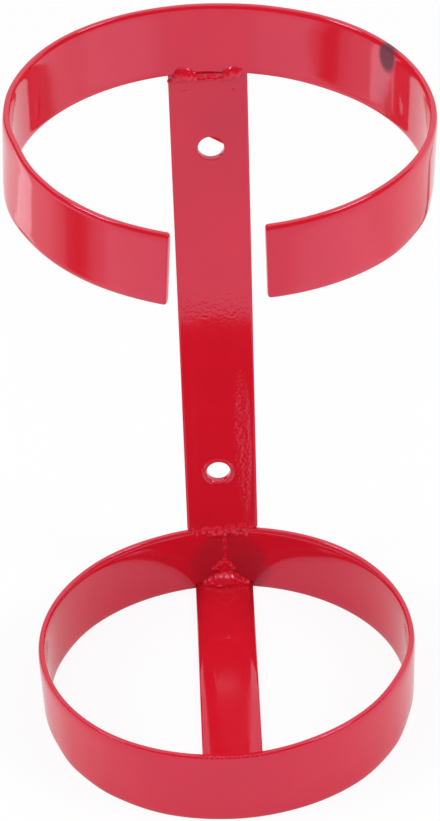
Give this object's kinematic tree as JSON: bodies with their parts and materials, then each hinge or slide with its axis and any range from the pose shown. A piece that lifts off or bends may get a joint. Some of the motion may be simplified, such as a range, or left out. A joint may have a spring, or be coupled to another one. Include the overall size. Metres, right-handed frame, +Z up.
{
  "type": "fire extinguisher bracket",
  "caption": "Welded flat-bar wall bracket with an open collar, an upright back plate, a closed ring and a foot strap, painted red.",
  "frame": {"origin": "midway between the two screw holes, on the rear face of the back plate", "axes": "+Z up along the back plate, +Y into the wall, +X to the right as seen from the front"},
  "size_m": [0.1608, 0.1631, 0.28],
  "materials": {
    "bar_paint": "gloss",
    "weld_paint": "gloss"
  },
  "bodies": {
    "root": {"upper_collar": "bar_paint", "back_plate": "bar_paint", "lower_ring": "bar_paint", "bottom_strap": "bar_paint", "collar_weld": "weld_paint", "plate_weld": "weld_paint", "ring_seam_weld": "weld_paint", "rear_weld": "weld_paint", "front_weld": "weld_paint"}
  },
  "joints": []
}
